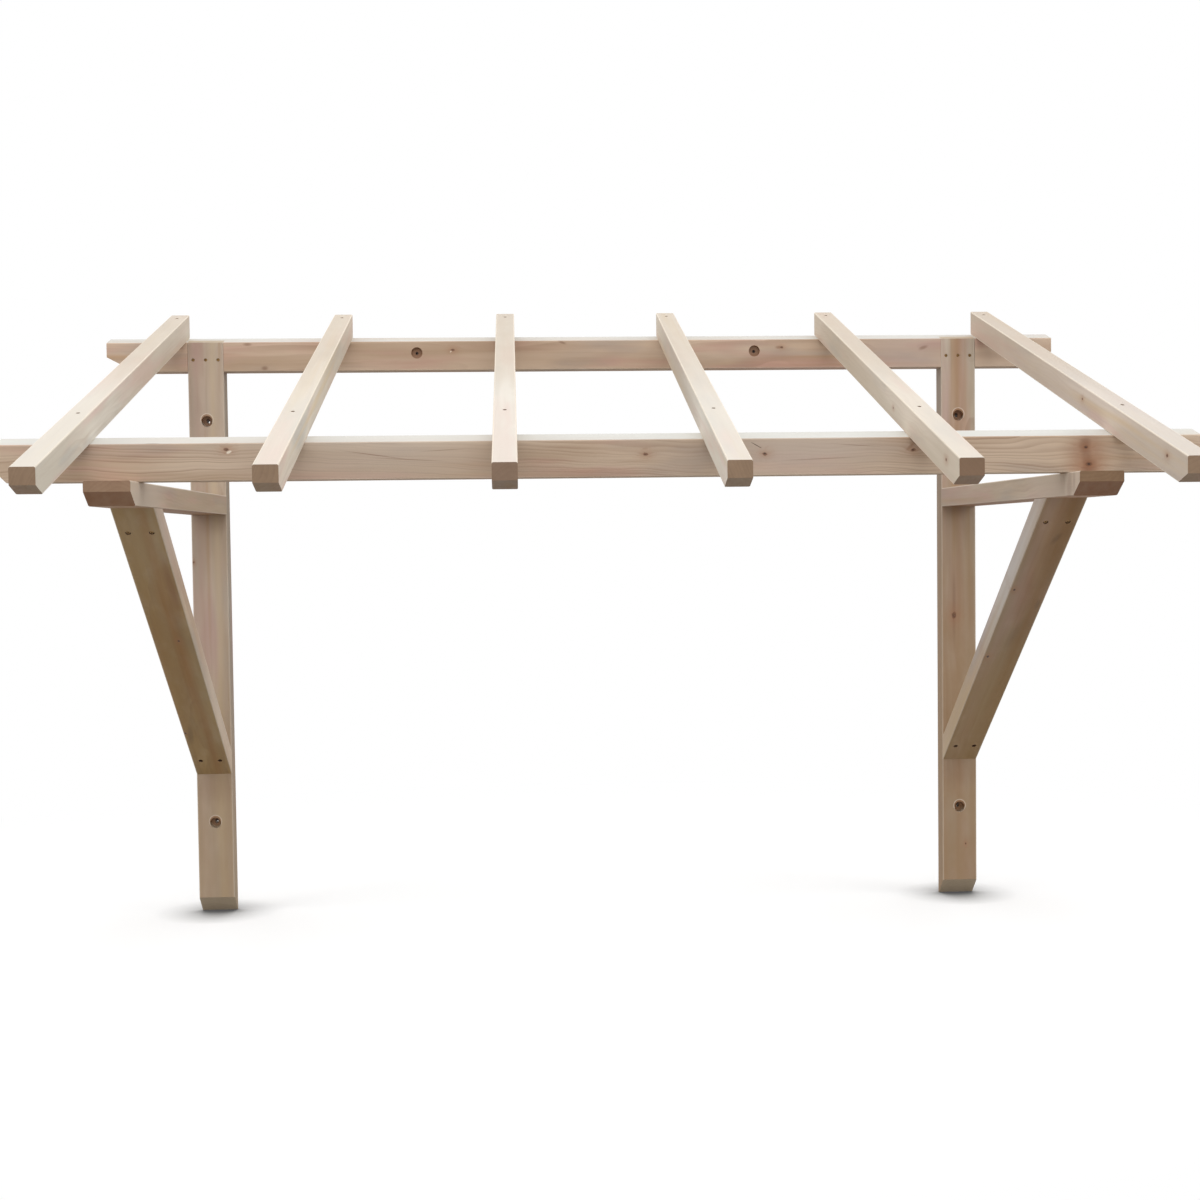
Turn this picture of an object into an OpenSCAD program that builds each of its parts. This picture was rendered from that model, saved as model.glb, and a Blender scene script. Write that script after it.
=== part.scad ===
// Wall-hung timber pergola: two braced brackets, a wall plate, a front beam and six rafters.
// Millimetres. X to the right, Y towards the wall, Z up; the wall plane is y = 0.
// The origin is the middle of the wall plate's back face.

/* [Timber] */
// Width of the posts, arms, braces, plate and beam
timber_w = 90; // [70:1:120]
// Thickness of the same timbers
timber_t = 48; // [34:1:60]
// Width of a rafter
rafter_w = 46; // [34:1:70]
// Depth of a rafter, square to its length
rafter_d = 57; // [40:1:90]
// Width of the eased long edges of every timber
ease = 1.5; // [0.5:0.5:4]

/* [Wall plate and front beam] */
// Length of the wall plate
plate_len = 2440; // [2300:10:3200]
// Distance each end of the front beam stops short of the plate's end
beam_in = 16; // [0:1:40]
// Rise of the cut under each end of the wall plate
plate_cut_h = 38; // [10:1:40]
// Length of the cut under each end of the wall plate
plate_cut_l = 72; // [10:1:100]
// Rise and length of the cut under each end of the front beam
beam_cut = 22; // [10:1:40]

/* [Brackets] */
// Distance from the plate's end to the middle of a post
post_in = 248; // [230:1:500]
// Height of a post, foot to the front of its top
post_h = 1466; // [1380:2:1800]
// Rise of the slope cut on a post foot
foot_cut_h = 42; // [10:1:60]
// Thickness left at the back of a post foot
foot_left = 6; // [4:1:20]
// Reach of an arm in front of its post
arm_len = 1015; // [940:5:1200]
// Rise of the cut under the arm's front end
arm_cut_h = 27; // [8:1:30]
// Length of the cut under the arm's front end
arm_cut_l = 38; // [8:1:60]
// Height of a brace between the arm and its toe on the post
brace_drop = 666; // [500:1:720]
// Reach of a brace along the underside of the arm
brace_reach = 815; // [600:5:870]

/* [Rafters] */
// Slope of the rafters in degrees
pitch = 18.5; // [14:0.5:22]
// Distance from the plate's end to the middle of the outer rafter
rafter_in = 177; // [120:1:200]
// Reach of a rafter from the wall
rafter_run = 1352; // [1240:2:1600]
// Rise of the cut under the rafter's front end
rafter_cut_h = 28; // [8:1:34]
// Length of the cut under the rafter's front end
rafter_cut_l = 41; // [8:1:60]
// Distance of the front beam behind the arm ends
beam_setback = 70; // [20:1:110]

/* [Holes] */
// Diameter of the sunk seat for a wall bolt's washer
seat_d = 28; // [22:1:34]
// Depth of that seat in a post
seat_depth = 20; // [8:1:24]
// Depth of that seat in the plate
plate_seat_depth = 11; // [6:1:20]
// Diameter of a wall bolt's hole in a post
bolt_d = 8; // [6:0.5:16]
// Diameter of a wall bolt's hole in the plate
plate_bolt_d = 5; // [4:0.5:14]
// Distance of a post's upper bolt below the top of its front
bolt_top = 200; // [150:1:260]
// Distance of a post's lower bolt above its foot
bolt_low = 235; // [150:1:280]
// Distance between the two bolts in the wall plate
plate_bolts = 872; // [600:2:1200]
// Diameter of a sunk screw hole in the posts and rafters
screw_d = 8.5; // [6:0.5:12]
// Diameter of a sunk screw hole in the braces
brace_screw_d = 11; // [6:0.5:14]
// Depth of a sunk screw hole
screw_depth = 12; // [6:1:16]

/* [Hidden] */
$fn = 48;

rafter_count = 6;
rafter_gap = (plate_len - 2 * rafter_in) / (rafter_count - 1);
beam_len = plate_len - 2 * beam_in;
rise = tan(pitch);
slip = 0.5;
bar = 4 * ease;
lap = timber_t / 2;
plate_foot = -timber_w / 2;
post_x = plate_len / 2 - post_in;
post_top = slope_z(-timber_t);
post_foot = post_top - post_h;
arm_end = -timber_t - arm_len;
beam_front = arm_end + beam_setback;
beam_rear = beam_front + timber_t;
arm_top = slope_z(beam_rear) - timber_w;
arm_low = arm_top - timber_t;
brace_len = norm([brace_reach, brace_drop]);
brace_tilt = atan2(brace_drop, brace_reach);
brace_toe = arm_low - brace_drop;
rafter_rise = rafter_d / cos(pitch);
screw_x = timber_w * 0.35;
brace_screw_x = timber_w * 0.27;
brace_screw_toe = 65;
brace_screw_head = 80;

pine = [0.80, 0.68, 0.54];
pine_light = [0.86, 0.77, 0.64];
pine_dark = [0.70, 0.57, 0.43];

// Height of the rafters' underside, which is also the top of the plate and the beam
function slope_z(y) = timber_w / 2 + y * rise;

// Middle of a rafter, counted from the left
function rafter_x(i) = (i - (rafter_count + 1) / 2) * rafter_gap;

// A side outline in y and z, drawn out to a width along x
module side_shape(x_mid, width, outline) {
    translate([x_mid - width / 2, 0, 0])
        rotate([90, 0, 90])
            linear_extrude(width)
                polygon(outline);
}

// An outline with each corner cut back along both of its sides
function eased(p) = [
    for (i = [0 : len(p) - 1])
        let (here = p[i], last = p[(i + len(p) - 1) % len(p)], next = p[(i + 1) % len(p)])
        each [here + ease * (last - here) / norm(last - here), here + ease * (next - here) / norm(next - here)]
];

// Four slim bars along a timber's long edges; taken away, they leave the edges eased
module edge_bars(x_mid, width, depth, from, lean, reach) {
    translate([x_mid, from[0], from[1]])
        rotate([lean, 0, 0])
            for (right = [-1, 1], back = [-1, 1]) {
                translate([right * width / 2, (1 + back) * depth / 2, 0])
                    rotate(atan2(back, right))
                        translate([bar / 2 - ease / sqrt(2), 0, 0])
                            cube([bar, bar, 2 * reach], center = true);
            }
}

// A bolt hole along y with its sunk seat in the front face
module bolt_hole(x, z, hole_d, depth) {
    translate([x, slip, z])
        rotate([90, 0, 0])
            cylinder(d = hole_d, h = timber_t + 2 * slip);
    translate([x, depth - timber_t, z])
        rotate([90, 0, 0])
            cylinder(d = seat_d, h = depth + slip);
}

// A sunk screw hole whose mouth leans forward from straight up by the angle given
module screw_hole(at, lean, hole_d) {
    translate(at)
        rotate([lean, 0, 0])
            translate([0, 0, -screw_depth])
                cylinder(d = hole_d, h = screw_depth + slip);
}

// The slope cut off both lower corners of a plate or beam
module end_cuts(length, low, cut_h, cut_l, front) {
    for (side = [-1, 1]) {
        translate([side * length / 2, front + timber_t + slip, low])
            rotate([90, 0, 0])
                linear_extrude(timber_t + 2 * slip)
                    polygon([[slip * side, -slip], [-cut_l * side, -slip], [-cut_l * side, 0], [0, cut_h],
                        [slip * side, cut_h]]);
    }
}

// A timber on edge whose top follows the rafters
module edge_timber(length, front) {
    rear = front + timber_t;
    low = slope_z(rear) - timber_w;
    side_shape(0, length, eased([[front, low], [rear, low], [rear, slope_z(rear)], [front, slope_z(front)]]));
}

module wall_plate() {
    color(pine)
    difference() {
        edge_timber(plate_len, -timber_t);
        end_cuts(plate_len, plate_foot, plate_cut_h, plate_cut_l, -timber_t);
        for (side = [-1, 1]) {
            // housing for the post's tongue
            translate([side * post_x - timber_w / 2, -timber_t - slip, plate_foot - slip])
                cube([timber_w, lap + slip, timber_w + 2 * slip]);
            bolt_hole(side * plate_bolts / 2, 0, plate_bolt_d, plate_seat_depth);
        }
    }
}

module front_beam() {
    color(pine)
    difference() {
        edge_timber(beam_len, beam_front);
        end_cuts(beam_len, arm_top, beam_cut, beam_cut, beam_front);
    }
}

module post(side) {
    x = side * post_x;
    color(pine)
    difference() {
        side_shape(x, timber_w, [
            [-timber_t, post_foot + foot_cut_h], [-foot_left, post_foot], [0, post_foot], [0, plate_foot],
            [-lap, plate_foot], [-lap, slope_z(-lap)], [-timber_t, post_top]
        ]);
        edge_bars(x, timber_w, timber_t, [-timber_t, post_foot], 0, post_h + timber_w);
        bolt_hole(x, post_top - bolt_top, bolt_d, seat_depth);
        bolt_hole(x, post_foot + bolt_low, bolt_d, seat_depth);
        for (step = [-1, 0, 1]) {
            screw_hole([x + step * screw_x, -timber_t, plate_foot + timber_w / 3], 90, screw_d);
        }
    }
}

module arm(side) {
    x = side * post_x;
    color(pine_light)
    difference() {
        side_shape(x, timber_w, [
            [-timber_t, arm_low], [-timber_t, arm_top], [arm_end, arm_top], [arm_end, arm_low + arm_cut_h],
            [arm_end + arm_cut_l, arm_low]
        ]);
        edge_bars(x, timber_w, timber_t, [-timber_t, arm_low], 90, arm_len + timber_t);
    }
}

module brace(side) {
    x = side * post_x;
    head_y = -timber_t - brace_reach;
    away = [-brace_reach / brace_len, brace_drop / brace_len];
    color(pine_dark)
    difference() {
        side_shape(x, timber_w, [
            [-timber_t, brace_toe], [head_y, arm_low], [head_y + timber_t * brace_len / brace_drop, arm_low],
            [-timber_t, brace_toe + timber_t * brace_len / brace_reach]
        ]);
        edge_bars(x, timber_w, timber_t, [-timber_t, brace_toe], 90 - brace_tilt, brace_len + timber_t);
        for (step = [-1, 1]) {
            for (along = [brace_screw_toe, brace_len - brace_screw_head]) {
                screw_hole([x + step * brace_screw_x, -timber_t + away[0] * along, brace_toe + away[1] * along],
                    180 - brace_tilt, brace_screw_d);
            }
        }
    }
}

module rafter(i) {
    front = -rafter_run;
    x = rafter_x(i);
    color(pine_light)
    difference() {
        side_shape(x, rafter_w, [
            [0, slope_z(0)], [0, slope_z(0) + rafter_rise], [front, slope_z(front) + rafter_rise],
            [front, slope_z(front) + rafter_cut_h], [front + rafter_cut_l, slope_z(front + rafter_cut_l)]
        ]);
        edge_bars(x, rafter_w, rafter_d, [0, slope_z(0)], 90 + pitch, rafter_run / cos(pitch) + rafter_d);
        for (middle = [-lap, beam_front + lap]) {
            y = middle - rafter_d * sin(pitch);
            screw_hole([x, y, slope_z(y) + rafter_rise], pitch, screw_d);
        }
    }
}

module left_post() { post(-1); }
module right_post() { post(1); }
module left_arm() { arm(-1); }
module right_arm() { arm(1); }
module left_brace() { brace(-1); }
module right_brace() { brace(1); }

wall_plate();
left_post();
right_post();
left_arm();
right_arm();
left_brace();
right_brace();
front_beam();
rafter(1);  // rafter_1
rafter(2);  // rafter_2
rafter(3);  // rafter_3
rafter(4);  // rafter_4
rafter(5);  // rafter_5
rafter(6);  // rafter_6
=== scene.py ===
import math
import bmesh
import bpy
from mathutils import Euler, Matrix, Vector


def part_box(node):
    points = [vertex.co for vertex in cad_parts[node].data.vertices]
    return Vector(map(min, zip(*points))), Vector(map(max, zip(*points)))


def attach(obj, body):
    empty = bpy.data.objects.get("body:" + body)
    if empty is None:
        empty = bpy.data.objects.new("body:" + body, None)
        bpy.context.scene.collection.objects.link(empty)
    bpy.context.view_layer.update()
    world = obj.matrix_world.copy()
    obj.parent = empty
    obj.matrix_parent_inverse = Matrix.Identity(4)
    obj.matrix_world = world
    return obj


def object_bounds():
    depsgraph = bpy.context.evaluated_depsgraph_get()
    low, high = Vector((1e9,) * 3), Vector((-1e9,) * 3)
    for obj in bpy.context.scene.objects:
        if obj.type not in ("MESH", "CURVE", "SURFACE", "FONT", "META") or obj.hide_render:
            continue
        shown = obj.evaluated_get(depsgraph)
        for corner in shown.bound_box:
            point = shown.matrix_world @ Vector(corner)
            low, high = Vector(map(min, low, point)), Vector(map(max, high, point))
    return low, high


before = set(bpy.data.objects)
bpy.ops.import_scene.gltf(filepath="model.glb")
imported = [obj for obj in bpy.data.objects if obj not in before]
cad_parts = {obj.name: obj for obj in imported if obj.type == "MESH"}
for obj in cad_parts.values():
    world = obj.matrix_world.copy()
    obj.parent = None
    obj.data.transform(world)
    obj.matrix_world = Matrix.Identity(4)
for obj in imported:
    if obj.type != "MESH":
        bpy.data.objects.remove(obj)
cadLow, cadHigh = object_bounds()
print("frame loaded:", len(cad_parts), "timbers")


def nodeMiddle(node):
    low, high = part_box(node)
    return (low + high) / 2


def nodeSize(node):  # to a tenth of a millimetre
    low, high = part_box(node)
    return [round(length, 4) for length in high - low]


# Timbers: the sizes that the looks and the screws are placed by.
quarter = math.radians(90)
boardWide, boardThick, _ = nodeSize("left_post")
onEdge = (boardThick / 2, boardWide / 2)  # half sizes across and up
onFlat = (boardWide / 2, boardThick / 2)
_, braceReach, braceDrop = nodeSize("left_brace")
braceLean = math.atan2(braceDrop, braceReach)
braceLength = math.hypot(braceDrop, braceReach)
rafterWide, _, _ = nodeSize("rafter_1")
rafterDeep = 0.057
pitch = math.radians(18.5)                # slope of the rafters

# Holes in the fronts, measured from the middle of a timber or in from its end.
bolts = {
    "seatRadius": 0.014,
    "onPlate": (-0.436, 0.436),
    "onPost": (0.533, -0.498),
}
screwHoles = {
    "postStep": 0.0315, "postHeight": -0.015,
    "braceStep": 0.0243, "toeInset": 0.065, "headInset": 0.08, "braceRadius": 0.0055,
}


def tone(red, green, blue):  # a screen colour, 0 to 255, as the linear colour that a shader takes
    return tuple(((level / 255 + 0.055) / 1.055) ** 2.4 for level in (red, green, blue)) + (1,)


def tinted(colour, tint):  # a linear colour, warmed or paled by a share for each channel
    return tuple(level * share for level, share in zip(colour, tint)) + (1,)


class Flow:  # a shader socket that can stand in a sum
    def __init__(self, tree, socket=None):
        self.tree, self.socket = tree, socket

    def node(self, kind, settings, values, out=0):  # any node: its type, its settings, then its inputs
        made = self.tree.nodes.new(kind)
        for name, value in settings.items():
            setattr(made, name, value)
        for name, value in values.items():
            if isinstance(value, Flow):
                self.tree.links.new(value.socket, made.inputs[name])
            else:
                made.inputs[name].default_value = value
        return Flow(self.tree, made.outputs[out] if made.outputs else None)

    def other(self, out):  # another output of the same node
        return Flow(self.tree, self.socket.node.outputs[out])

    def math(self, operation, first, second=0.0):
        return self.node("ShaderNodeMath", {"operation": operation}, {0: first, 1: second})

    def __add__(self, value):
        return self.math("ADD", self, value)

    def __radd__(self, value):
        return self.math("ADD", value, self)

    def __sub__(self, value):
        return self.math("SUBTRACT", self, value)

    def __rsub__(self, value):
        return self.math("SUBTRACT", value, self)

    def __mul__(self, value):
        return self.math("MULTIPLY", self, value)

    def __rmul__(self, value):
        return self.math("MULTIPLY", value, self)

    def __truediv__(self, value):
        return self.math("DIVIDE", self, value)

    def __rtruediv__(self, value):
        return self.math("DIVIDE", value, self)

    def __pow__(self, value):
        return self.math("POWER", self, value)

    def __abs__(self):
        return self.math("ABSOLUTE", self)

    def ramp(self, low, high):  # 0 below low, 1 above high, eased between
        return self.node("ShaderNodeMapRange", {"interpolation_type": "SMOOTHSTEP"},
                         {"Value": self, "From Min": low, "From Max": high})

    def bell(self, width):  # 1 at nought, falling off either side
        side = self / width
        return self.math("EXPONENT", 0.0 - side * side)

    def patchy(self, spread=0.8):  # a pattern as a factor of about 1
        return (1 - spread / 2) + spread * self

    def mixed(self, share, first, second):  # from the first colour to the second
        return self.node("ShaderNodeMix", {"data_type": "RGBA"}, {0: share, 6: first, 7: second}, out=2)

    def blend(self, share, colour, how="MIX"):  # this colour, with a share of another laid on
        settings = {"data_type": "RGBA", "blend_type": how}
        return self.node("ShaderNodeMix", settings, {0: share, 6: self, 7: colour}, out=2)

    def parts(self):  # the three numbers of a vector
        split = self.node("ShaderNodeSeparateXYZ", {}, {0: self})
        return split, split.other("Y"), split.other("Z")

    def noise(self, scale, shift, detail):  # soft noise at a place
        spot = self.node("ShaderNodeVectorMath", {"operation": "MULTIPLY_ADD"}, {0: self, 1: scale, 2: shift})
        return self.node("ShaderNodeTexNoise", {}, {"Vector": spot, "Scale": 1.0, "Detail": detail})


def newMaterial(name):
    material = bpy.data.materials.new(name)
    material.use_nodes = True
    material.node_tree.nodes.clear()
    return material, Flow(material.node_tree)


# Softwood, cut from a log: growth rings round a pith line, so faces, edges and ends all agree.
woodBasis = {
    "seed": 1.0,
    "face": "across",                        # the way that the face seen from the front looks
    "frontSkin": (0.003, 0.006),             # depth that a mark on the front face keeps to
    "rings": 0.0078,                         # width of a year's growth
    "uneven": 1.8, "unevenPace": 0.3,        # how much the years differ, and how soon
    "weakYear": 0.2,                         # darkness of the palest ring
    "lateShare": 0.26, "lateLeast": 0.25,    # how strongly the rings show, and what is left where they fade
    "pith": (0.03, -0.012),                  # where the log's heart lies, across and up
    "lean": (0.012, 0.02),                   # how the heart drifts along the timber
    "stray": 0.06,                           # how far it wanders
    "ripple": 0.034, "rippleScale": (5, 12, 12),
    "tint": (1, 1, 1),
    "pale": tone(211, 188, 163),
    "tan": tone(188, 162, 135),
    "pink": tone(200, 157, 141),
    "amber": tone(182, 144, 104),
    "grey": tone(170, 155, 142),
    "late": tone(142, 106, 82),
    "end": tone(146, 120, 94), "endLate": tone(112, 86, 62),
    "endShares": {"late": 0.2, "fine": 0.2, "stain": 0.5},
    "upper": tone(218, 210, 199), "upperShare": 0.8, "upperLeast": 0.3,   # painted highlight: up-facing faces made paler, standing in for sky light and sheen on the tops
    "underTint": (0.72, 0.62, 0.5), "underShare": 0.6,                    # painted shade: down-facing faces made darker and browner
    "sideShadingTint": (0.6, 0.59, 0.55), "sideShadingShare": 0.0,                      # painted light and shade on faces turned left and right, by a share for each channel
    "foot": tone(160, 130, 98), "footShare": 0.0,                         # towards the lower end
    "footSpan": (-0.1, 0.62), "footStray": 0.5,
    "edgeHighlightAndPaleWood": tone(240, 229, 212), "edgeHighlightShare": 0.35, "edgeHighlightLeast": 0.4,  # painted highlight along the corners, where rounded edges catch the light
    "arrisSpan": (0.0032, 0.0016),                                        # in from the sharp corner
    "washes": [],   # along, beside, half length, half height, turn, colour and share of broad washes: stains, and painted light on the fronts of the arms
    "bands": [],    # beside, half width, colour and share of stripes along the grain
    "bandStray": 0.03,
    "smudgesAndShade": [],  # along, beside, half length, half height, turn and share of faint dark patches: stains, and painted shade under the arms, the brace toes and the beam
    "flecks": [],   # the same without a share, for small torn spots of paler wood
    "cracks": [],   # and for fine dark splits
    "fleckShare": 0.85, "crackShare": 0.8,
    "knots": [],    # along, beside and radius
    "knot": tone(118, 78, 54), "knotShare": 0.8, "knotStretch": 1.5,
    # darkest colour: knot cores and cracks, and painted shade in the bolt bores
    "knotDarkAndBoreShade": tone(58, 38, 26),
    "halo": tone(164, 116, 84), "haloShare": 0.45, "haloReach": 2.6,
    "knotBend": 0.007,                       # how far the rings bend round a knot
    "holes": [],    # along, beside and radius
    "holeDepth": 0.012, "holeFade": 0.001,   # below the front face
    # dark colour in the hole seats: dust, and painted shade in the recess
    "dustAndShade": tone(140, 92, 52), "dustAndShadeShare": 0.6,
    "rimShare": 0.0,                         # paler wood round the mouth of a hole
    "boreShadeShare": 0.85,                       # painted shade inside a bolt hole
    "roughness": {"plain": 0.6, "fine": 0.16, "late": -0.06, "knot": -0.14},
    "relief": {"fibre": 0.35, "fine": 0.25, "late": 0.4, "knot": 0.5, "crack": -2.0},
    "bumpStrength": 0.35, "bumpDistance": 0.0006,
}
woodPatterns = {  # how fast each changes along, across and up the timber, and its detail
    "speck": ((150, 210, 210), 2.0),
    "stray": ((1.3, 6, 6), 2.0),
    "streak": ((1.6, 15, 15), 3.0),
    "blush": ((2.4, 17, 17), 3.0),
    "vein": ((1.1, 30, 30), 2.0),
    "dull": ((3.2, 15, 15), 3.0),
    "clear": ((2.2, 10, 10), 2.0),
    "fine": ((3.5, 120, 120), 3.0),
    "fibre": ((22, 900, 900), 2.0),
    "stain": ((14, 26, 26), 3.0),
}
seedShift, patternShift = (7.31, 3.17, 5.53), (2.9, -4.3, 6.1)  # so that no two patterns look alike
woodStains = [  # colour, its pattern, where the pattern starts and is full, and its share
    ("pink", "blush", (0.45, 0.66), 0.75),
    ("grey", "dull", (0.48, 0.7), 0.6),
    ("amber", "vein", (0.54, 0.74), 0.6),
]
woodFibres = [("fine", (0.48, 0.8), 0.18), ("fibre", (0.55, 0.85), 0.14)]  # the same, all in the late colour
spans = {  # where each starts and is full
    "tan": (0.36, 0.64), "clear": (0.42, 0.64),
    "darken": (0.1, 0.88), "stop": (0.9, 1.0),               # over one year
    "knot": (0.6, 1.0), "knotCore": (0.2, 0.7),              # in radii of a knot
    "knotSpeck": (0.35, 0.6),
    "rim": (1.02, 1.06), "beyondRim": (1.12, 1.24),          # in radii of a hole
    "seat": (1.01, 1.06), "boreShade": (0.3, 0.34),
    "side": (0.6, 0.9), "end": (0.3, 0.75),                  # how squarely a face looks that way
    "upper": (0.55, 0.9), "under": (0.45, 0.75),
}
markEdges = {  # pattern, spread and span that make the edge of a mark ragged
    "wash": ("streak", 0.8, (0.2, 1.2)),
    "smudgeAndShade": ("fine", 0.9, (0.2, 1.15)),
    "fleck": ("speck", 0.8, (0.6, 1.1)),
    "crack": ("speck", 0.8, (0.4, 1.0)),
}


class Wood:  # one timber's wood: where a point lies in it, and the colour laid on so far
    def __init__(self, flow, middle, turn, half, look):
        self.flow, self.half, self.look = flow, half, look
        coords = flow.node("ShaderNodeTexCoord", {}, {}, out="Object")
        normal = coords.other("Normal")
        intoTimber = {"vector_type": "TEXTURE"}
        spot = {"Vector": coords, "Location": middle, "Rotation": turn}
        self.place = flow.node("ShaderNodeMapping", intoTimber, spot)
        self.along, self.across, self.up = self.place.parts()
        turned = flow.node("ShaderNodeMapping", intoTimber, {"Vector": normal, "Rotation": turn})
        self.endwise, _, _ = turned.parts()
        self.sideways, _, self.skyward = normal.parts()
        edgeOn = look["face"] == "across"
        self.beside = self.up if edgeOn else self.across
        self.depth = self.across + half[0] if edgeOn else self.up + half[1]  # below the front face
        self.front = 1.0 - self.depth.ramp(*look["frontSkin"])
        self.grain = {}
        for number, (name, (scale, detail)) in enumerate(woodPatterns.items()):
            shift = [look["seed"] * one + number * two for one, two in zip(seedShift, patternShift)]
            self.grain[name] = self.place.noise(scale, shift, detail)

    def lay(self, share, colour, how="MIX"):
        self.colour = self.colour.blend(share, colour, how)

    def reach(self, mark):  # distance from a mark's middle, counted in its own half sizes
        atAlong, atBeside, halfLength, halfHeight, turn = mark
        cos, sin = math.cos(math.radians(turn)), math.sin(math.radians(turn))
        stepAlong, stepBeside = self.along - atAlong, self.beside - atBeside
        lengthwise = (stepAlong * cos + stepBeside * sin) / halfLength
        crosswise = (stepBeside * cos - stepAlong * sin) / halfHeight
        return (lengthwise * lengthwise + crosswise * crosswise) ** 0.5

    def nearest(self, spots, stretch=1):  # distance from the nearest spot, counted in its radius
        marks = [(along, beside, radius * stretch, radius, 0) for along, beside, radius in spots]
        reaches = [self.reach(mark) for mark in marks]
        near = reaches[0]
        for reach in reaches[1:]:
            near = self.flow.math("MINIMUM", near, reach)
        return near

    def patch(self, kind, mark):  # 1 inside a mark, 0 outside
        pattern, spread, span = markEdges[kind]
        return 1.0 - (self.reach(mark) * self.grain[pattern].patchy(spread)).ramp(*span)

    def knotty(self):  # how near a knot is, and the glow of darker wood round it
        near = self.nearest(self.look["knots"], self.look["knotStretch"])
        self.lump = near * self.grain["speck"].patchy(1.0)
        self.halo = self.lump.bell(self.look["haloReach"])

    def rings(self):  # the dark late wood of each year; the heart wanders, and knots push the rings aside
        look, flow, seed = self.look, self.flow, self.look["seed"]
        strayAcross, strayUp, _ = self.grain["stray"].other("Color").parts()
        ripple = (self.place.noise(look["rippleScale"], (seed, 0, seed), 2.0) - 0.5) * look["ripple"]
        outAcross = self.across + ripple + (strayAcross - 0.5) * look["stray"]
        outAcross = outAcross - self.along * look["lean"][0] - look["pith"][0]
        outUp = self.up + ripple + (strayUp - 0.5) * look["stray"]
        outUp = outUp - self.along * look["lean"][1] - look["pith"][1]
        radius = (outAcross * outAcross + outUp * outUp) ** 0.5
        if look["knots"]:
            radius = radius - self.halo * look["knotBend"]
        years = radius / look["rings"]
        oneWay = {"noise_dimensions": "1D"}
        pace = years * look["unevenPace"] + seed
        years = years + look["uneven"] * flow.node("ShaderNodeTexNoise", oneWay, {"W": pace, "Scale": 1.0})
        phase = flow.math("FRACT", years)
        vigour = flow.node("ShaderNodeTexWhiteNoise", oneWay, {"W": flow.math("FLOOR", years)})
        darkness = look["weakYear"] + (1 - look["weakYear"]) * vigour
        return phase.ramp(*spans["darken"]) * (1.0 - phase.ramp(*spans["stop"])) * darkness

    def grow(self):  # broad stains along the grain, then rings, then fibre
        look, grain = self.look, self.grain
        fresh = ("pale", "tan", "pink", "amber", "grey", "late")
        shade = {key: tinted(look[key], look["tint"]) for key in fresh}
        if look["knots"]:
            self.knotty()
        grain["late"] = self.rings()
        self.colour = self.flow.mixed(grain["streak"].ramp(*spans["tan"]), shade["pale"], shade["tan"])
        for key, pattern, span, share in woodStains:
            self.lay(grain[pattern].ramp(*span) * share, shade[key])
        clear = look["lateLeast"] + grain["clear"].ramp(*spans["clear"])
        self.lay(grain["late"] * clear * look["lateShare"], shade["late"])
        for pattern, span, share in woodFibres:
            self.lay(grain[pattern].ramp(*span) * share, shade["late"])
        rough, relief = look["roughness"], look["relief"]
        self.rough = rough["plain"] + grain["fine"] * rough["fine"] + grain["late"] * rough["late"]
        self.height = grain["fibre"] * relief["fibre"] + grain["fine"] * relief["fine"]
        self.height = self.height + grain["late"] * relief["late"]

    def stain(self):  # broad washes, and stripes along the grain
        # broad washes: stains, and painted light on the arms' fronts
        for *mark, wash, share in self.look["washes"]:
            self.lay(self.patch("wash", mark) * share, wash)
        for at, width, band, share in self.look["bands"]:
            bent = self.beside + (self.grain["blush"] - 0.5) * self.look["bandStray"]
            self.lay((bent - at).bell(width) * (share * self.grain["streak"].patchy()), band)

    def weather(self):  # painted light and shade on the sides, painted highlight on the tops, brown feet, end grain, painted shade on the undersides and painted highlight on the corners
        look, grain = self.look, self.grain
        # painted light and shade on faces turned left and right
        if look["sideShadingShare"]:
            sides = abs(self.sideways).ramp(*spans["side"]) * look["sideShadingShare"]
            self.lay(sides, (*look["sideShadingTint"], 1), "MULTIPLY")
        # painted highlight on faces turned up
        topHighlightAmount = look["upperShare"] * (look["upperLeast"] + grain["streak"])
        self.lay(self.skyward.ramp(*spans["upper"]) * topHighlightAmount, look["upper"])
        if look["footShare"]:
            feet = (0.0 - self.along + (grain["streak"] - 0.5) * look["footStray"]).ramp(*look["footSpan"])
            self.lay(feet * (look["footShare"] * grain["stain"].patchy(0.6)), look["foot"])
        ends = look["endShares"]
        endDark = grain["late"] * ends["late"] + grain["fine"] * ends["fine"] + grain["stain"] * ends["stain"]
        endGrain = self.flow.mixed(endDark, look["end"], look["endLate"])
        self.lay(abs(self.endwise).ramp(*spans["end"]), endGrain)
        # painted shade on faces turned down
        under = (0.0 - self.skyward).ramp(*spans["under"]) * (look["underShare"] * grain["stain"].patchy())
        self.lay(under, (*look["underTint"], 1), "MULTIPLY")
        # painted highlight along the corners
        corner = self.half[0] + self.half[1]
        edgeHighlight = (abs(self.across) + abs(self.up)).ramp(*[corner - inset for inset in look["arrisSpan"]])
        self.lay(edgeHighlight * (look["edgeHighlightLeast"] + grain["blush"]) * look["edgeHighlightShare"], look["edgeHighlightAndPaleWood"])

    def mark(self):  # smudges and painted shade, flecks and cracks on the front face, and knots right through
        look = self.look
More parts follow.
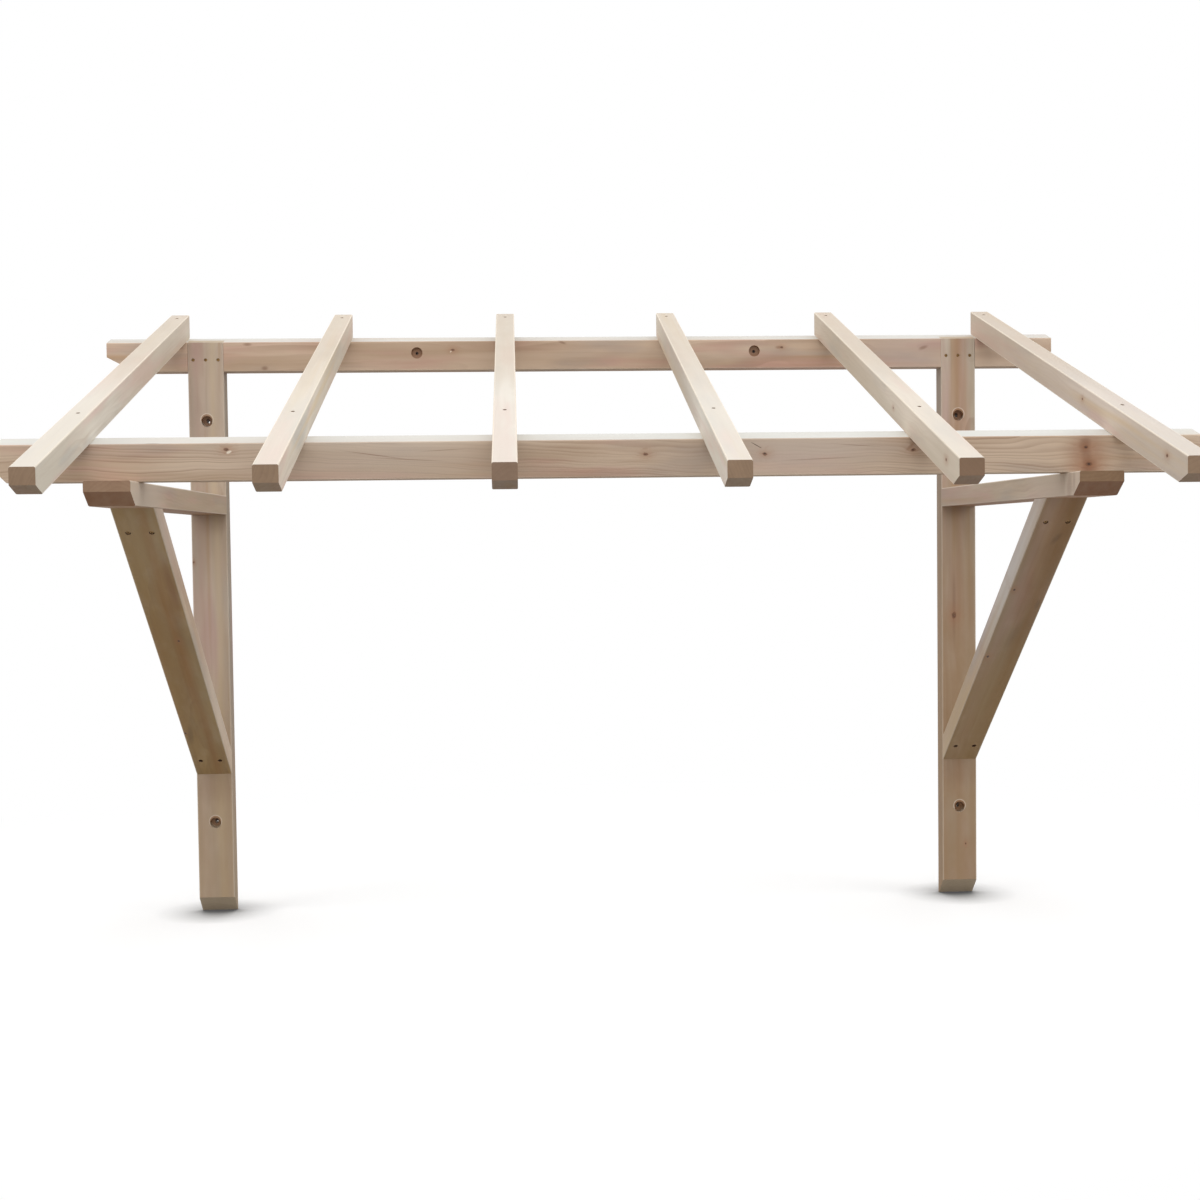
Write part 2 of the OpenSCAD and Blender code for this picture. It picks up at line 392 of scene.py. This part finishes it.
        # dark patches: stains, and in places painted shade under other timbers
        for *mark, share in look["smudgesAndShade"]:
            self.lay(self.patch("smudgeAndShade", mark) * self.front * share, look["knot"])
        if look["knots"]:
            heart = 1.0 - self.lump.ramp(*spans["knot"])
            core = 1.0 - self.lump.ramp(*spans["knotCore"])
            self.lay(self.halo * look["haloShare"], look["halo"])
            self.lay(heart * look["knotShare"], look["knot"])
            self.lay(core * self.grain["speck"].ramp(*spans["knotSpeck"]), look["knotDarkAndBoreShade"])
            self.rough = self.rough + heart * look["roughness"]["knot"]
            self.height = self.height + heart * look["relief"]["knot"]
        for mark in look["flecks"]:
            self.lay(self.patch("fleck", mark) * self.front * look["fleckShare"], look["edgeHighlightAndPaleWood"])
        for mark in look["cracks"]:
            split = self.patch("crack", mark) * self.front
            self.lay(split * look["crackShare"], look["knotDarkAndBoreShade"])
            self.height = self.height + split * look["relief"]["crack"]

    def drill(self):  # pale rims, seats darkened with dust and painted shade, and bores painted dark as shade
        look = self.look
        hole = self.nearest(look["holes"])
        rim = hole.ramp(*spans["rim"]) * (1.0 - hole.ramp(*spans["beyondRim"]))
        self.lay(rim * self.front * (look["rimShare"] * self.grain["blush"].patchy(1.0)), look["edgeHighlightAndPaleWood"])
        # seats darkened: dust and painted shade in the recess
        shallow = 1.0 - self.depth.ramp(look["holeDepth"], look["holeDepth"] + look["holeFade"])
        seat = (1.0 - hole.ramp(*spans["seat"])) * shallow
        self.lay(seat * look["dustAndShadeShare"], look["dustAndShade"])
        # painted shade in the bore
        boreShade = 1.0 - hole.ramp(*spans["boreShade"])
        self.lay(boreShade * look["boreShadeShare"], look["knotDarkAndBoreShade"])

    def finish(self):
        look, flow = self.look, self.flow
        relief = {"Strength": look["bumpStrength"], "Distance": look["bumpDistance"], "Height": self.height}
        bump = flow.node("ShaderNodeBump", {}, relief)
        surface = {"Base Color": self.colour, "Roughness": self.rough, "Normal": bump}
        shader = flow.node("ShaderNodeBsdfPrincipled", {}, surface)
        flow.node("ShaderNodeOutputMaterial", {}, {"Surface": shader})


def woodMaterial(name, middle, turn, half, look):
    material, flow = newMaterial(name)
    wood = Wood(flow, middle, turn, half, {**woodBasis, **look})
    wood.grow()
    wood.stain()
    wood.weather()
    wood.mark()
    if wood.look["holes"]:
        wood.drill()
    wood.finish()
    return material


def dress(node, turn, half, look):
    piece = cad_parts[node]
    axes = Euler(turn).to_matrix()
    middle = nodeMiddle(node)
    for way in (axes.col[1], axes.col[2]):  # square the middle up to the timber's own faces
        reach = [way.dot(piece.matrix_world @ corner.co) for corner in piece.data.vertices]
        middle = middle + way * ((min(reach) + max(reach)) / 2 - way.dot(middle))
    piece.data.materials.clear()
    piece.data.materials.append(woodMaterial(node + "_pine", middle, turn, half, look))


# Plate and beam lie along x: across is y, up is z.
boardBasis = {"upper": tone(215, 214, 208), "upperShare": 1.15}
plateLook = {
    **boardBasis, "seed": 1.3, "lateShare": 0.3, "pith": (0.062, -0.03), "tint": (1.0, 0.99, 1.01),
    "knots": [(-0.344, 0.007, 0.004), (0.508, 0.009, 0.0035)],
    "smudgesAndShade": [
        (0.88, 0.006, 0.016, 0.006, 20, 0.5),
        (-0.866, 0.024, 0.014, 0.006, 0, 0.5),
        (-0.062, 0.024, 0.012, 0.004, -20, 0.5),
        (-0.823, -0.037, 0.011, 0.007, 0, 0.55),
        (0.5, 0.009, 0.011, 0.005, 0, 0.5),
        (0.78, 0.02, 0.24, 0.05, 0, 0.1),
    ],
    "washes": [
        (-0.25, -0.005, 0.34, 0.07, 0, tone(172, 142, 116), 0.32),
        (1.1, 0, 0.16, 0.08, 0, tone(176, 156, 142), 0.3),
        (0.84, 0, 0.16, 0.08, 0, tone(190, 172, 166), 0.4),
    ],
    "flecks": [(-0.349, 0.003, 0.003, 0.0015, 40)],
    "holes": [(place, 0, bolts["seatRadius"]) for place in bolts["onPlate"]],
}
beamLook = {
    **boardBasis, "seed": 2.7, "lateShare": 0.44, "rings": 0.0066,
    "pith": (-0.036, 0.078), "lean": (0.01, -0.022), "tint": (0.99, 1.0, 1.03),
    "knots": [
        (-0.756, 0.017, 0.004), (0.0705, 0.0, 0.004), (0.31, -0.001, 0.004),
        (0.611, 0.004, 0.004), (0.965, 0.006, 0.004), (0.971, -0.028, 0.0055),
    ],
    "washes": [
        (-0.46, 0.0, 0.34, 0.09, 0, tone(208, 193, 178), 0.5),
        (0.4, 0.012, 0.24, 0.09, 0, tone(212, 195, 180), 0.5),
        (0.968, -0.014, 0.05, 0.075, 0, tone(150, 104, 76), 0.6),
    ],
    "smudgesAndShade": [
        (0.605, 0.01, 0.014, 0.005, 40, 0.4),
        (0.962, 0.008, 0.014, 0.016, 0, 0.5),
        (0.972, -0.03, 0.018, 0.018, 0, 0.7),
        (0.966, -0.01, 0.012, 0.05, 0, 0.35),
        (-0.47, 0.004, 0.075, 0.0016, -8, 0.5),
        (-0.4, -0.006, 0.09, 0.0014, -3, 0.45),
        (-0.33, 0.012, 0.06, 0.0014, 3, 0.35),
        (0.43, -0.012, 0.1, 0.0016, 2, 0.4),
        (0.5, 0.014, 0.07, 0.0014, -4, 0.35),
        (-0.9, 0.03, 0.02, 0.002, 3, 0.4),
        (0.05, 0.0, 0.3, 0.09, 0, 0.08),
    ],
    "flecks": [(-0.751, 0.012, 0.006, 0.003, 25)],
    "cracks": [(0.293, 0.016, 0.016, 0.0011, -30)],
}
for node, look in (("wall_plate", plateLook), ("front_beam", beamLook)):
    dress(node, (0, 0, 0), onEdge, look)

# Posts stand along z: across is y, up is -x.
postBasis = {
    "pale": tone(206, 187, 165), "tan": tone(186, 164, 140), "pink": tone(192, 158, 146),
    "amber": tone(178, 138, 98), "grey": tone(178, 165, 149),
    # pale end tones: painted light on the bevelled feet, which face down towards the floor
    "end": tone(206, 190, 168), "endLate": tone(174, 156, 132),
    "underShare": 0.0, "sideShadingShare": 0.8, "rimShare": 0.5, "holeDepth": 0.021,
    "holes": [(height, 0, bolts["seatRadius"]) for height in bolts["onPost"]],
}
postLooks = {
    "left_post": {
        **postBasis, "seed": 4.1, "pith": (0.07, 0.02), "lean": (0.006, 0.014), "tint": (0.97, 0.99, 1.05),
        "bands": [(-0.02, 0.011, tone(206, 186, 154), 0.5), (0.02, 0.016, tone(186, 158, 140), 0.35)],
        "foot": tone(164, 138, 106), "footShare": 0.6,
        "knots": [(0.17, 0.041, 0.0025)],
        "smudgesAndShade": [
            # dark patch just under the arm: part stain, part painted shade
            (0.27, -0.004, 0.035, 0.045, 0, 0.2),
            (0.6, 0.0, 0.2, 0.09, 0, 0.14),
            # dark patch just under the brace's toe: painted shade, with some weathering
            (-0.405, 0.0, 0.055, 0.08, 0, 0.2),
        ],
    },
    "right_post": {
        **postBasis, "seed": 5.9, "lateShare": 0.4,
        "pith": (0.06, -0.03), "lean": (-0.005, 0.012), "tint": (1.02, 1.12, 1.22),
        "bands": [
            (0.0, 0.022, tone(172, 136, 102), 0.35),
            (0.004, 0.007, tone(160, 120, 84), 0.3),
            (0.038, 0.009, tone(190, 160, 146), 0.5),
        ],
        "foot": tone(156, 126, 92), "footShare": 0.75, "footSpan": (-0.5, 0.05),
        "knots": [(0.005, 0.013, 0.0075), (-0.6, -0.016, 0.0025)],
        "smudgesAndShade": [
            (0.03, 0.013, 0.12, 0.006, 0, 0.35),
            # dark patch just under the arm: part stain, part painted shade
            (0.28, 0.0, 0.03, 0.05, 0, 0.2),
            # dark patch just under the brace's toe: painted shade, with some weathering
            (-0.405, 0.0, 0.055, 0.08, 0, 0.2),
        ],
    },
}
for node, look in postLooks.items():
    dress(node, (0, -quarter, 0), onEdge, look)

# Arms run out to the front: across is x, up is z.
armBasis = {
    "lateShare": 0.18, "underShare": 0.9,
    "foot": tone(160, 136, 106), "footShare": 0.4, "footSpan": (-0.15, 0.5),
    # pale wash over the front of each arm: painted light where the beam's shadow falls
    "washes": [(0.42, 0, 0.24, 0.1, 0, tone(216, 200, 182), 0.85)],
}
armLooks = {
    "left_arm": {
        **armBasis, "seed": 6.7, "pith": (0.02, -0.05), "tint": (0.97, 1.0, 1.01),
        "end": tone(172, 142, 116), "endLate": tone(134, 100, 76), "underTint": (0.54, 0.35, 0.21),
    },
    "right_arm": {
        **armBasis, "seed": 7.9, "pith": (-0.03, 0.055), "tint": (1.03, 1.12, 1.22),
        "end": tone(152, 122, 92), "endLate": tone(114, 84, 58), "underTint": (0.55, 0.33, 0.2),
        "foot": tone(164, 144, 122),
        # dark patches on the side just under the beam: part stain, part painted shade of the beam
        "smudgesAndShade": [(0.45, 0.0, 0.02, 0.05, 0, 0.3), (0.475, 0.006, 0.01, 0.03, 0, 0.25)],
    },
}
for node, look in armLooks.items():
    dress(node, (0, 0, -quarter), onFlat, look)

# Braces rise to the front: across is x, up is square to the wide face.
braceInsets = ((-1, screwHoles["toeInset"]), (1, screwHoles["headInset"]))
braceHoles = [
    (end * (braceLength / 2 - inset), side * screwHoles["braceStep"], screwHoles["braceRadius"])
    for end, inset in braceInsets for side in (-1, 1)
]
braceBasis = {
    "face": "up", "underShare": 1.0, "sideShadingShare": 0.9, "knot": tone(58, 41, 26),
    "holes": braceHoles, "dustAndShade": tone(84, 58, 38), "dustAndShadeShare": 0.8,
}
braceLooks = {
    "left_brace": {
        **braceBasis, "seed": 8.3, "pith": (0.015, 0.06), "tint": (1.0, 1.07, 1.12),
        "underTint": (0.68, 0.56, 0.35), "sideShadingTint": (0.97, 0.9, 0.84), "pink": tone(194, 156, 126),
        "knots": [(0.06, 0.012, 0.003), (-0.33, -0.04, 0.003)],
        "bands": [(-0.03, 0.018, tone(188, 162, 124), 0.4), (0.012, 0.012, tone(180, 138, 98), 0.4)],
        "washes": [
            (0.44, 0.0, 0.24, 0.12, 0, tone(214, 204, 196), 0.6),
            (-0.22, 0.034, 0.34, 0.03, 0, tone(214, 204, 192), 0.5),
            (0.26, 0.031, 0.13, 0.013, 0, tone(150, 104, 76), 0.55),
        ],
        "smudgesAndShade": [(-0.34, -0.03, 0.05, 0.01, 8, 0.35)],
    },
    "right_brace": {
        **braceBasis, "seed": 9.1, "pith": (-0.02, 0.06), "tint": (1.02, 1.13, 1.24),
        "underTint": (0.7, 0.64, 0.55), "sideShadingTint": (1.0, 1.1, 1.25),
        "foot": tone(195, 166, 121), "footShare": 0.55, "footSpan": (-0.1, 0.3),
        "knots": [(0.208, -0.034, 0.0035), (-0.055, -0.034, 0.004)],
        "washes": [
            (0.42, 0.012, 0.24, 0.08, 0, tone(188, 146, 100), 0.5),
            (-0.28, -0.05, 0.34, 0.014, 0, tone(150, 118, 88), 0.6),
            (0.3, -0.05, 0.26, 0.012, 0, tone(212, 202, 192), 0.5),
            (-0.28, 0.036, 0.28, 0.024, 0, tone(140, 104, 74), 0.55),
        ],
        "bands": [(-0.028, 0.016, tone(202, 174, 166), 0.5), (0.024, 0.022, tone(160, 124, 80), 0.75)],
        "smudgesAndShade": [
            (0.39, 0.014, 0.026, 0.01, 20, 0.3),
            (0.15, 0.034, 0.024, 0.007, 0, 0.25),
            (0.03, 0.006, 0.07, 0.014, 6, 0.14),
        ],
    },
}
for node, look in braceLooks.items():
    dress(node, (0, -braceLean, -quarter), onFlat, look)

# Rafters slope down to the front: across is x, up is square to the top.
rafterBasis = {
    "pale": tone(222, 211, 195), "tan": tone(209, 198, 180), "pink": tone(215, 184, 170),
    "amber": tone(212, 189, 146), "grey": tone(184, 181, 174), "late": tone(172, 150, 128),
    "end": tone(160, 133, 107), "endLate": tone(118, 93, 71), "tint": (1.06, 1.1, 1.15),
    "lateShare": 0.2, "edgeHighlightShare": 0.7,
    "foot": tone(190, 170, 146), "footShare": 0.42, "footSpan": (-0.3, 0.2),
}
rafterLooks = [
    {"pith": (0.05, -0.03)},
    {"pith": (-0.06, 0.02), "tint": (1.07, 1.08, 1.09)},
    {"pith": (0.03, -0.06), "tint": (1.07, 1.13, 1.2), "end": tone(145, 119, 99)},
    {"pith": (0.055, 0.03), "washes": [(-0.1, -0.012, 0.42, 0.045, 0, tone(176, 164, 152), 0.4)]},
    {"pith": (-0.05, -0.04), "tint": (0.99, 0.97, 0.96), "end": tone(137, 108, 84),
     "knots": [(0.623, 0.002, 0.004), (0.199, -0.004, 0.003)]},
    {"pith": (-0.02, 0.06), "tint": (0.96, 0.92, 0.94), "upper": tone(208, 200, 191),
     "washes": [(-0.02, -0.02, 0.3, 0.035, 0, tone(172, 154, 138), 0.25)],
     "knots": [(0.618, 0.004, 0.004), (0.157, 0.002, 0.003)]},
]
rafterNodes = [f"rafter_{number}" for number in range(1, len(rafterLooks) + 1)]
rafterSeed, seedStep = 10.0, 1.7
for number, (node, look) in enumerate(zip(rafterNodes, rafterLooks), 1):
    look = {**rafterBasis, "seed": rafterSeed + number * seedStep, **look}
    dress(node, (0, pitch, -quarter), (rafterWide / 2, rafterDeep / 2), look)
print("timbers dressed")

# Wood screws, sunk in their holes.
screw = {
    "headRadius": 0.0039, "flatShare": 0.93,                  # the top is flat, with a small bevel
    "recessRadius": 0.0019, "recessDepth": 0.0024, "lobe": 0.17,
    "bevel": 0.0003, "rim": 0.0005, "cone": 0.0026, "shank": 0.016, "tip": 0.007,  # heights from the top down
    "shankShare": 0.47, "taper": 0.9, "tipShare": 0.12,       # growth over the cone, the shank and the tip
    "sides": 24, "spin": 0.7,                                 # each is turned a little from the last
    "sunk": {"post": 0.0014, "braceHead": 0.0016, "braceToe": 0.008, "rafter": 0.005},  # head below the wood
    "steel": tone(156, 126, 86), "rough": 0.36,
    "tarnish": tone(102, 76, 50), "tarnishRough": 0.25,
    "tarnishScale": (700, 700, 700), "tarnishSpan": (0.4, 0.7),
}


def steelMaterial(name):
    material, flow = newMaterial(name)
    coords = flow.node("ShaderNodeTexCoord", {}, {}, out="Object")
    tarnish = coords.noise(screw["tarnishScale"], (0, 0, 0), 3.0)
    colour = flow.mixed(tarnish.ramp(*screw["tarnishSpan"]), screw["steel"], screw["tarnish"])
    rough = screw["rough"] + tarnish * screw["tarnishRough"]
    surface = {"Base Color": colour, "Roughness": rough, "Metallic": 1.0}
    shader = flow.node("ShaderNodeBsdfPrincipled", {}, surface)
    flow.node("ShaderNodeOutputMaterial", {}, {"Surface": shader})
    return material


def aroundAxis(verts):
    return sorted(verts, key=lambda v: math.atan2(v.co.y, v.co.x))


def addScrew(bm, mouth, outward, sunk, spin):
    made = bmesh.ops.create_circle(bm, cap_ends=True, segments=screw["sides"], radius=screw["recessRadius"])
    ring = aroundAxis(made["verts"])
    allVerts = list(ring)
    lobes = (1 + screw["lobe"], 1, 1 - screw["lobe"], 1)
    for start, size in enumerate(lobes):  # six lobes
        bmesh.ops.scale(bm, vec=(size, size, 1), verts=ring[start::len(lobes)])
    edges = list({edge for v in ring for edge in v.link_edges})
    # each step: rise, growth, and whether the lobes are rounded off
    steps = (
        (screw["recessDepth"], 1, False),
        (0, screw["headRadius"] / screw["recessRadius"] * screw["flatShare"], True),
        (-screw["bevel"], 1 / screw["flatShare"], False),
        (-screw["rim"], 1, False),
        (-screw["cone"], screw["shankShare"], False),
        (-screw["shank"], screw["taper"], False),
        (-screw["tip"], screw["tipShare"], False),
    )
    for rise, growth, rounded in steps:
        geom = bmesh.ops.extrude_edge_only(bm, edges=edges)["geom"]
        ring = aroundAxis([g for g in geom if isinstance(g, bmesh.types.BMVert)])
        allVerts += ring
        bmesh.ops.translate(bm, vec=(0, 0, rise), verts=ring)
        for v in ring:
            size = growth * screw["recessRadius"] / v.co.xy.length if rounded else growth
            bmesh.ops.scale(bm, vec=(size, size, 1), verts=[v])
        edges = [g for g in geom if isinstance(g, bmesh.types.BMEdge) and g.is_boundary]
    bmesh.ops.contextual_create(bm, geom=edges)
    place = Matrix.Translation(Vector(mouth) - Vector(outward) * (sunk + screw["recessDepth"]))
    place = place @ Vector((0, 0, 1)).rotation_difference(Vector(outward)).to_matrix().to_4x4()
    bmesh.ops.transform(bm, matrix=place @ Matrix.Rotation(spin, 4, "Z"), verts=allVerts)


def screwPiece(name, places, material):
    bm = bmesh.new()
    for number, (mouth, outward, depth) in enumerate(places):
        addScrew(bm, mouth, outward, screw["sunk"][depth], number * screw["spin"])
    bmesh.ops.recalc_face_normals(bm, faces=bm.faces)
    mesh = bpy.data.meshes.new(name)
    bm.to_mesh(mesh)
    bm.free()
    piece = bpy.data.objects.new(name, mesh)
    bpy.context.scene.collection.objects.link(piece)
    mesh.materials.append(material)
    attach(piece, "root")


postMiddles = [nodeMiddle("left_post").x, nodeMiddle("right_post").x]
postScrews = [
    ((x + step * screwHoles["postStep"], -boardThick, screwHoles["postHeight"]), (0, -1, 0), "post")
    for x in postMiddles for step in (-1, 0, 1)
]

# up the lower face of a brace from its toe
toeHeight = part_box("left_brace")[0].z
braceOut = (0, -math.sin(braceLean), -math.cos(braceLean))
braceRows = ((screwHoles["toeInset"], "braceToe"), (braceLength - screwHoles["headInset"], "braceHead"))
braceScrews = []
for x in postMiddles:
    for far, depth in braceRows:
        y, z = -boardThick - math.cos(braceLean) * far, toeHeight + math.sin(braceLean) * far
        braceScrews += [((x + side * screwHoles["braceStep"], y, z), braceOut, depth) for side in (-1, 1)]

# square down through a rafter into the middle of the plate and of the beam
rafterOut = (0, -math.sin(pitch), math.cos(pitch))
rafterRows = [nodeMiddle(node).y - rafterDeep * math.sin(pitch) for node in ("wall_plate", "front_beam")]
rafterTop = boardWide / 2 + rafterDeep / math.cos(pitch)  # in the wall plane
rafterScrews = [
    ((nodeMiddle(node).x, y, rafterTop + y * math.tan(pitch)), rafterOut, "rafter")
    for node in rafterNodes for y in rafterRows
]
screwSteel = steelMaterial("screw_steel")
screwPiece("post_screws", postScrews, screwSteel)
screwPiece("brace_screws", braceScrews, screwSteel)
screwPiece("rafter_screws", rafterScrews, screwSteel)
print("screws made:", len(postScrews) + len(braceScrews) + len(rafterScrews))

# Studio: a white floor under the feet, a large soft lamp above, weaker ones in front and at the sides.
studio = {
    "sky": 0.95,
    "topPower": 62, "topSize": 5.0, "topPlace": (0, -1.6, 3.4), "topAim": (0, -0.7, 0),
    "frontPower": 44, "frontSize": 4.0, "frontPlace": (0, -6.5, 1.6), "frontAim": (0, 0, -0.5),
    "sidePower": 62, "sideSize": 3.0, "sidePlace": (5.0, -2.0, 1.4), "sideAim": (0, -0.7, -0.3),
    "floorHalf": 20,
    "floorBounce": (0.3, 0.28, 0.25, 1),
    "floorWhite": (0.95, 0.95, 0.95, 1),
    "floorGlow": 0.08,
    "contactReach": 0.13, "contactDepth": 2.4, "contactSamples": 16,  # painted contact shadow: an occlusion node darkens the floor where the feet stand
    "farStretch": (0.7, 1, 0), "farSpan": (1.0, 2.0),                 # plain white beyond this oval
    "white": (1, 1, 1, 1), "black": (0, 0, 0, 1),
}


def areaLamp(name, power, size, place, aim):
    lamp = bpy.data.lights.new(name, "AREA")
    lamp.energy, lamp.size = power, size
    holder = bpy.data.objects.new(name, lamp)
    holder.location = place
    holder.rotation_euler = (Vector(aim) - Vector(place)).to_track_quat("-Z", "Y").to_euler()
    holder.visible_camera = False
    bpy.context.scene.collection.objects.link(holder)


sideX, sideY, sideZ = studio["sidePlace"]
areaLamp("top_lamp", studio["topPower"], studio["topSize"], studio["topPlace"], studio["topAim"])
areaLamp("front_lamp", studio["frontPower"], studio["frontSize"], studio["frontPlace"], studio["frontAim"])
for name, side in (("left_lamp", -1), ("right_lamp", 1)):
    areaLamp(name, studio["sidePower"], studio["sideSize"], (side * sideX, sideY, sideZ), studio["sideAim"])


def seenDirectly(flow):  # 1 for what the camera, a mirror or a glass sees
    camera = flow.node("ShaderNodeLightPath", {}, {}, out="Is Camera Ray")
    mirror, glass = camera.other("Is Glossy Ray"), camera.other("Is Transmission Ray")
    return flow.math("MAXIMUM", flow.math("MAXIMUM", camera, mirror), glass)


world = bpy.data.worlds.new("studio_world")
bpy.context.scene.world = world
world.use_nodes = True
world.node_tree.nodes.clear()
flow = Flow(world.node_tree)
sky = flow.node("ShaderNodeBackground", {}, {"Strength": studio["sky"]})
white = flow.node("ShaderNodeBackground", {}, {"Color": studio["white"], "Strength": 1.0})
both = flow.node("ShaderNodeMixShader", {}, {0: seenDirectly(flow), 1: sky, 2: white})
flow.node("ShaderNodeOutputWorld", {}, {"Surface": both})


def floorMaterial():
    material, flow = newMaterial("studio_floor")
    coords = flow.node("ShaderNodeTexCoord", {}, {}, out="Object")
    spot = flow.node("ShaderNodeVectorMath", {"operation": "MULTIPLY"}, {0: coords, 1: studio["farStretch"]})
    length = flow.node("ShaderNodeVectorMath", {"operation": "LENGTH"}, {0: spot}, out="Value")
    far = length.ramp(*studio["farSpan"])
    samples, reach = {"samples": studio["contactSamples"]}, {"Distance": studio["contactReach"]}
    # painted contact shadow on the floor near the feet, from the occlusion node
    exposed = flow.node("ShaderNodeAmbientOcclusion", samples, reach, out="AO")
    pale = flow.node("ShaderNodeBsdfDiffuse", {}, {"Color": studio["floorWhite"]})
    shaded = flow.node("ShaderNodeBsdfDiffuse", {}, {"Color": studio["black"]})
    paper = flow.node("ShaderNodeMixShader", {}, {0: exposed ** studio["contactDepth"], 1: shaded, 2: pale})
    lift = flow.node("ShaderNodeEmission", {}, {"Color": studio["white"], "Strength": studio["floorGlow"]})
    near = flow.node("ShaderNodeAddShader", {}, {0: paper, 1: lift})
    glow = flow.node("ShaderNodeEmission", {}, {"Color": studio["white"], "Strength": 1.0})
    shown = flow.node("ShaderNodeMixShader", {}, {0: far, 1: near, 2: glow})
    bounce = flow.node("ShaderNodeBsdfDiffuse", {}, {"Color": studio["floorBounce"]})
    both = flow.node("ShaderNodeMixShader", {}, {0: seenDirectly(flow), 1: bounce, 2: shown})
    flow.node("ShaderNodeOutputMaterial", {}, {"Surface": both})
    return material


bm = bmesh.new()
bmesh.ops.create_grid(bm, x_segments=1, y_segments=1, size=studio["floorHalf"])
bmesh.ops.translate(bm, vec=(0, 0, cadLow.z), verts=bm.verts)
floorMesh = bpy.data.meshes.new("studio_floor")
bm.to_mesh(floorMesh)
bm.free()
studioFloor = bpy.data.objects.new("studio_floor", floorMesh)
studioFloor.data.materials.append(floorMaterial())
bpy.context.scene.collection.objects.link(studioFloor)
bpy.context.scene.view_settings.view_transform = "Standard"
print("studio ready")

# The photo's view: lens and film in millimetres, turn in degrees.
view = {
    "lens": 47.417, "film": 36,
    "place": (-0.19444, -4.14453, -0.48752), "turn": (87.8498, 0.7078, -3.1203),
}
camera = bpy.data.cameras.new("photo_camera")
camera.lens, camera.sensor_width = view["lens"], view["film"]
cameraHolder = bpy.data.objects.new("photo_camera", camera)
cameraHolder.location = view["place"]
cameraHolder.rotation_euler = [math.radians(angle) for angle in view["turn"]]
bpy.context.scene.collection.objects.link(cameraHolder)
bpy.context.scene.camera = cameraHolder
